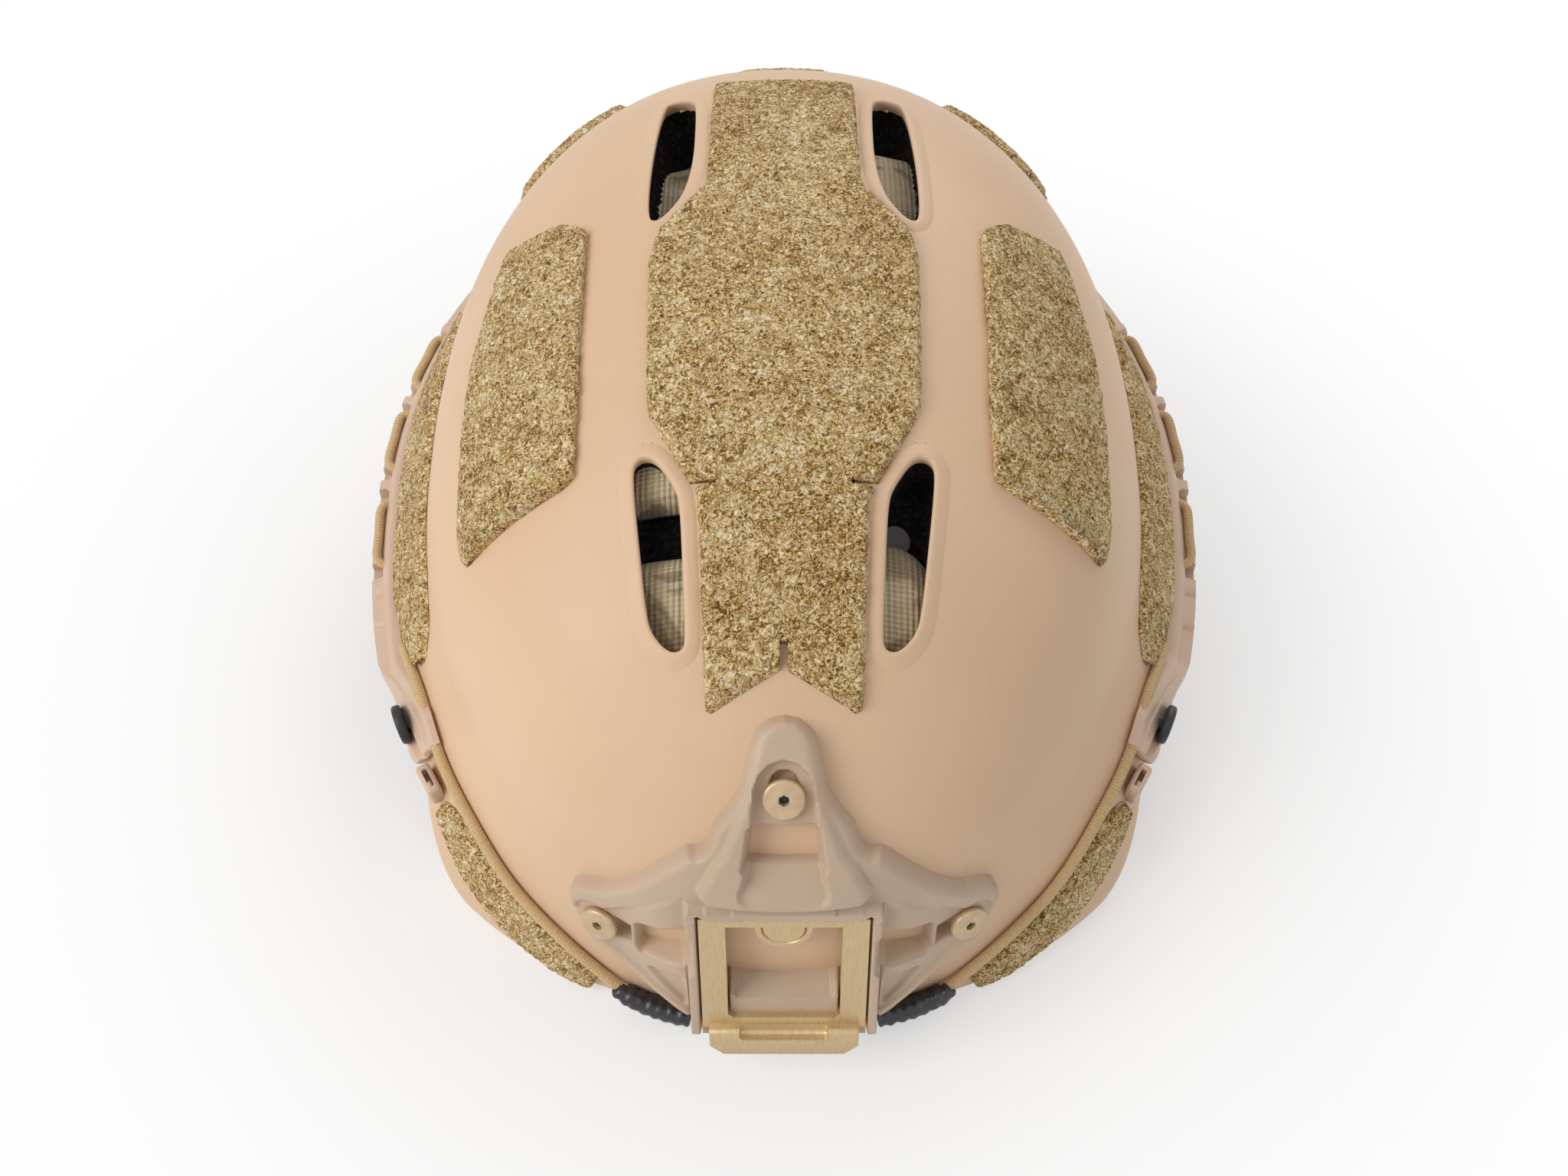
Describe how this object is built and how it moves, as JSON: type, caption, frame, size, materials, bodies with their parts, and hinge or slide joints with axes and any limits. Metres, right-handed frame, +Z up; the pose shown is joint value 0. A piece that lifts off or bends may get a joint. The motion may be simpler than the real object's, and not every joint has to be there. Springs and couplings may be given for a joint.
{
  "type": "combat helmet",
  "caption": "High-cut protective helmet with side rails, brow shroud, loop panels, padded liner, dial-adjusted fit band and buckled chin harness.",
  "frame": {"origin": "centre of the footprint on the surface that the brow and nape rim stand on", "axes": "+Z up, -Y towards the brow, +X towards the wearer's left"},
  "size_m": [0.2456, 0.3073, 0.157],
  "materials": {
    "shell_tan": "fine textured tan polymer",
    "loop_pile": "olive tan loop pile",
    "gold_metal": "gold tan anodised, satin",
    "screw_tan": "satin tan coating",
    "steel": "plain",
    "black_metal": "black oxide",
    "elastic_cord": "braided elastic cord",
    "polymer_tan": "moulded polymer",
    "black_sleeve": "heat-shrunk sleeve",
    "liner_foam": "beaded foam",
    "knit_pad": "ribbed knit with a blotched camouflage colouring",
    "webbing": "woven webbing",
    "chin_padding": "padded fabric",
    "black_plastic": "moulded nylon"
  },
  "bodies": {
    "root": {"shell": "shell_tan", "centre_loop_panel": "loop_pile", "upper_side_loop_left": "loop_pile", "upper_side_loop_right": "loop_pile", "side_loop_left": "loop_pile", "side_loop_right": "loop_pile", "front_quarter_loop_left": "loop_pile", "front_quarter_loop_right": "loop_pile", "rear_quarter_loop_left": "loop_pile", "rear_quarter_loop_right": "loop_pile", "rear_loop_panel": "loop_pile", "shroud_body": "polymer_tan", "shroud_insert": "gold_metal", "shroud_screws": "screw_tan", "shroud_nuts": "steel", "rail_left": "polymer_tan", "rail_right": "polymer_tan", "rail_screws": "black_metal", "rail_knobs": "black_metal", "rail_clip_left": "polymer_tan", "rail_clip_right": "polymer_tan", "rail_lacing_left": "elastic_cord", "rail_lacing_right": "elastic_cord", "bungee_left": "elastic_cord", "bungee_right": "elastic_cord", "bungee_sleeve_left": "black_sleeve", "bungee_sleeve_right": "black_sleeve", "impact_liner": "liner_foam", "pad_brow": "knit_pad", "pad_front": "knit_pad", "pad_crown": "knit_pad", "pad_back": "knit_pad", "pad_nape": "knit_pad", "pad_side_left": "knit_pad", "pad_side_right": "knit_pad", "headband": "black_plastic", "front_strap_left": "webbing", "front_strap_right": "webbing", "rear_strap_left": "webbing", "rear_strap_right": "webbing", "strap_slider_left": "black_plastic", "strap_slider_right": "black_plastic", "buckle_socket": "black_plastic", "chin_strap_socket": "webbing", "chin_cup": "chin_padding"},
    "yoke": {"nape_yoke": "black_plastic", "dial_housing": "black_plastic", "yoke_pad": "knit_pad"},
    "dial": {"fit_dial": "black_plastic"},
    "plug": {"buckle_plug": "black_plastic", "chin_strap_plug": "webbing"}
  },
  "joints": [
    {"name": "fit_slide", "type": "slide", "parent": "root", "child": "yoke", "axis": [0, -0.9781, -0.2079], "range_m": [0, 0.01]},
    {"name": "dial_turn", "type": "hinge", "parent": "yoke", "child": "dial", "pos_m": [0, 0.12108, 0.0282], "axis": [0, 0.9781, 0.2079], "range_deg": [0, 114.6]},
    {"name": "buckle_release", "type": "slide", "parent": "root", "child": "plug", "axis": [1, 0, 0], "range_m": [0, 0.016]}
  ],
  "couplings": [
    {"joint": "dial_turn", "follows": "fit_slide", "rad_per_m": 200}
  ]
}
